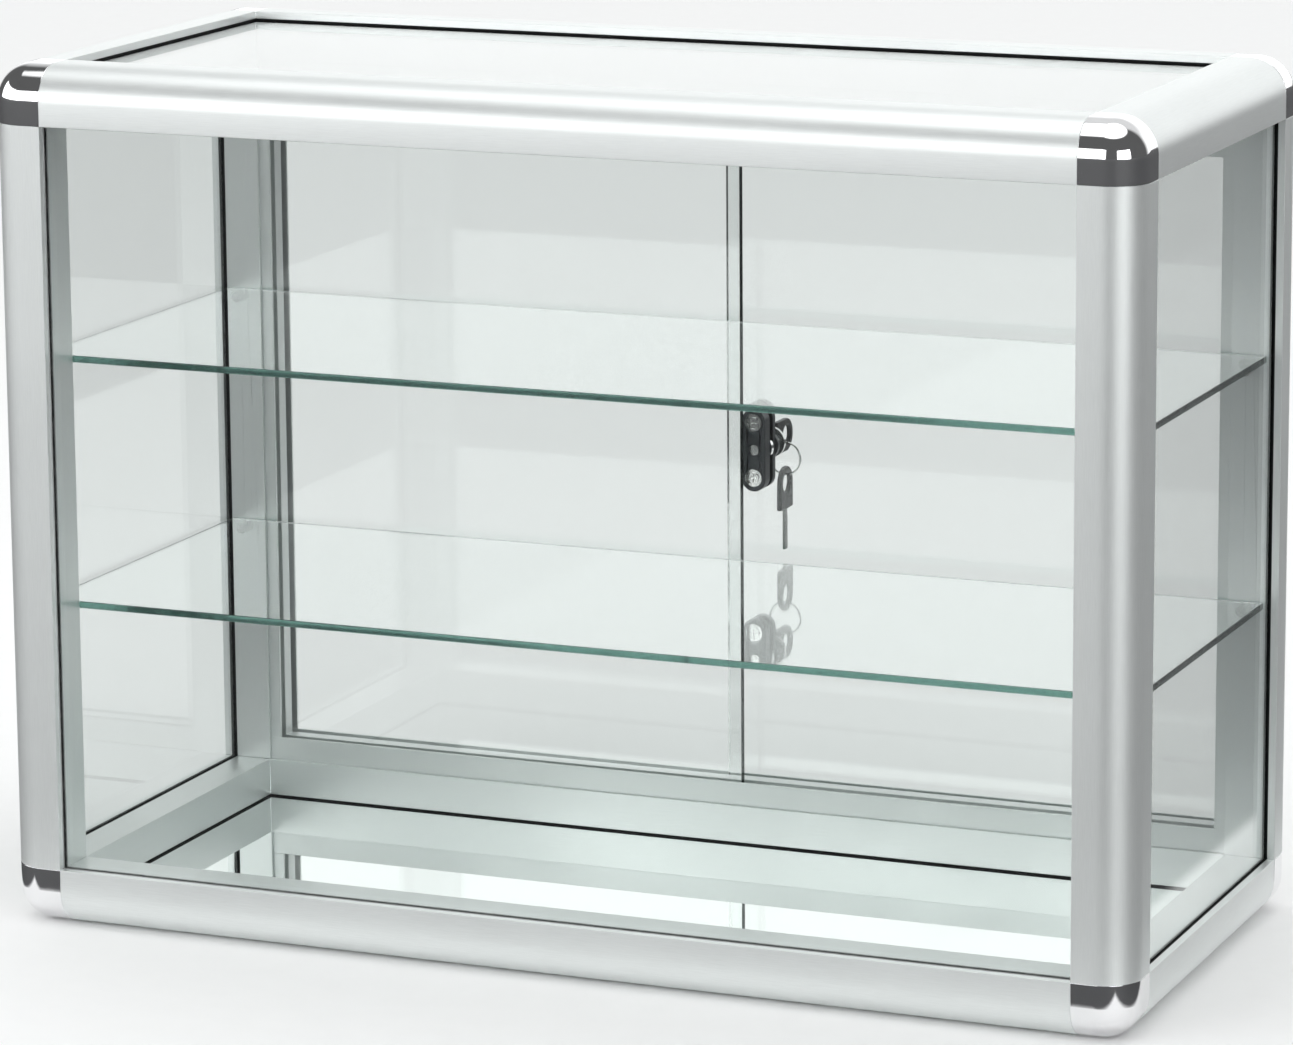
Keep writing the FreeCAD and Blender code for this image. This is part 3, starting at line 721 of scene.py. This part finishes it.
def add_camera(stage):
    data = bpy.data.cameras.new("camera")
    data.lens = stage.lens
    data.shift_x, data.shift_y = stage.shift
    data.clip_end = 100.0
    camera = bpy.data.objects.new("camera", data)
    camera.location = stage.place
    camera.rotation_euler = stage.turn
    bpy.context.scene.collection.objects.link(camera)
    bpy.context.scene.camera = camera


class SHOWCASE_OT_stage(bpy.types.Operator):
    """Set up the floor, the lamps and the camera"""

    bl_idname = "showcase.stage"
    bl_label = "Stage"

    def execute(self, context):
        stage = context.scene.showcase_stage
        add_floor(stage)
        light_sky(stage)
        middle = (0.0, 0.0, CAD_BOX[1][2] / 2)
        for name, place, size, share in LAMPS:
            add_lamp(name, place, middle, size, stage.lamp_power * share)
        add_camera(stage)
        context.scene.view_settings.view_transform = "Standard"
        paths = context.scene.cycles
        # Light turns back many times inside the cut edges of the shelves.
        paths.max_bounces = paths.transmission_bounces = paths.glossy_bounces = LIGHT_BOUNCES
        paths.transparent_max_bounces = CLEAR_BOUNCES
        return {"FINISHED"}


# ------------------------------------------------------------------------------------ registration

OPERATORS = (
    SHOWCASE_OT_rails,
    SHOWCASE_OT_corners,
    SHOWCASE_OT_panes,
    SHOWCASE_OT_deck,
    SHOWCASE_OT_seals,
    SHOWCASE_OT_shelf_pins,
    SHOWCASE_OT_tracks,
    SHOWCASE_OT_doors,
    SHOWCASE_OT_lock,
    SHOWCASE_OT_keys,
    SHOWCASE_OT_stage,
)


class SHOWCASE_PT_panel(bpy.types.Panel):
    """Sizes, colours and pieces of the showcase"""

    bl_idname = "SHOWCASE_PT_panel"
    bl_label = "Showcase"
    bl_space_type = "VIEW_3D"
    bl_region_type = "UI"
    bl_category = "Showcase"

    def draw(self, context):
        for operator in OPERATORS:
            self.layout.operator(operator.bl_idname)
        for name in SETTINGS:
            group = getattr(context.scene, name)
            box = self.layout.box()
            for key in group.bl_rna.properties.keys():
                if key not in ("rna_type", "name"):
                    box.prop(group, key)


SETTINGS = {
    "showcase_metal": MetalSettings,
    "showcase_glass": GlassSettings,
    "showcase_stage": StageSettings,
}


def register():
    for kind in (*SETTINGS.values(), *OPERATORS, SHOWCASE_PT_panel):
        bpy.utils.register_class(kind)
    for name, kind in SETTINGS.items():
        setattr(bpy.types.Scene, name, PointerProperty(type=kind))


def unregister():
    for name in SETTINGS:
        delattr(bpy.types.Scene, name)
    for kind in (SHOWCASE_PT_panel, *reversed(OPERATORS), *reversed(SETTINGS.values())):
        bpy.utils.unregister_class(kind)


def main():
    register()
    for operator in OPERATORS:
        group, name = operator.bl_idname.split(".")
        getattr(getattr(bpy.ops, group), name)()


if __name__ == "__main__":
    main()
